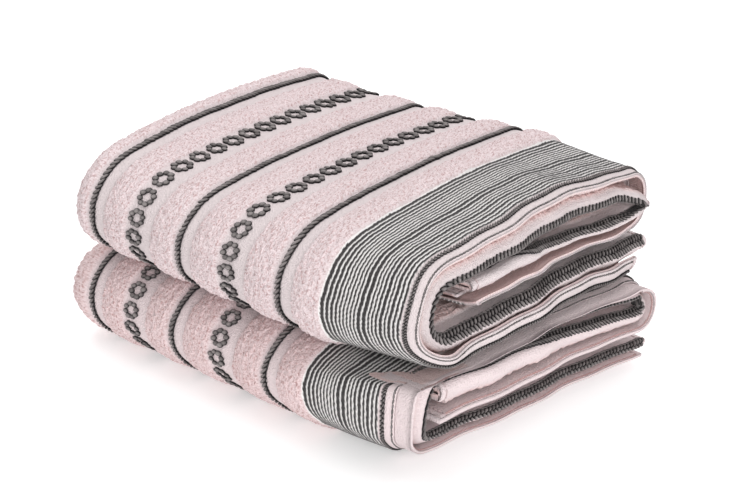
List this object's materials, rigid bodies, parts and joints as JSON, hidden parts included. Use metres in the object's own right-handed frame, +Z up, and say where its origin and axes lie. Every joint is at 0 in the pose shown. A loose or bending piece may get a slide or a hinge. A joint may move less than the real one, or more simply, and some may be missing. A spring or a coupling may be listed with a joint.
{
  "type": "bath towel set",
  "caption": "Two folded terry bath towels in a stack, with raised charcoal lines, diamonds and a lined border woven across them.",
  "frame": {"origin": "on the floor, under the middle of the stack's outline", "axes": "+X from the closed fold to the end with the hems, +Y from the spine of the folds to the back, +Z up"},
  "size_m": [0.367, 0.2814, 0.1796],
  "materials": {
    "lower_terry_cotton": "terry",
    "upper_terry_cotton": "terry",
    "charcoal_yarn": "twisted yarn",
    "seam_thread": "sewing thread"
  },
  "bodies": {
    "lower_towel": {"lower_border_cord": "charcoal_yarn", "lower_bottom_side_stitch": "seam_thread", "lower_cloth": "lower_terry_cotton", "lower_diamond_row_1": "charcoal_yarn", "lower_diamond_row_2": "charcoal_yarn", "lower_flap_side_stitch": "seam_thread", "lower_inner_hem_stitch": "charcoal_yarn", "lower_middle_braid": "charcoal_yarn", "lower_outer_hem_stitch": "charcoal_yarn", "lower_twisted_line_1": "charcoal_yarn", "lower_twisted_line_2": "charcoal_yarn", "lower_twisted_line_3": "charcoal_yarn"},
    "upper_towel": {"upper_border_cord": "charcoal_yarn", "upper_bottom_side_stitch": "seam_thread", "upper_cloth": "upper_terry_cotton", "upper_diamond_row_1": "charcoal_yarn", "upper_diamond_row_2": "charcoal_yarn", "upper_flap_side_stitch": "seam_thread", "upper_inner_hem_stitch": "charcoal_yarn", "upper_middle_braid": "charcoal_yarn", "upper_outer_hem_stitch": "charcoal_yarn", "upper_twisted_line_1": "charcoal_yarn", "upper_twisted_line_2": "charcoal_yarn", "upper_twisted_line_3": "charcoal_yarn"}
  },
  "joints": [
    {"name": "upper_towel_lift", "type": "slide", "parent": "lower_towel", "child": "upper_towel", "axis": [0, 0, 1], "range_m": [0, 0.17]}
  ]
}
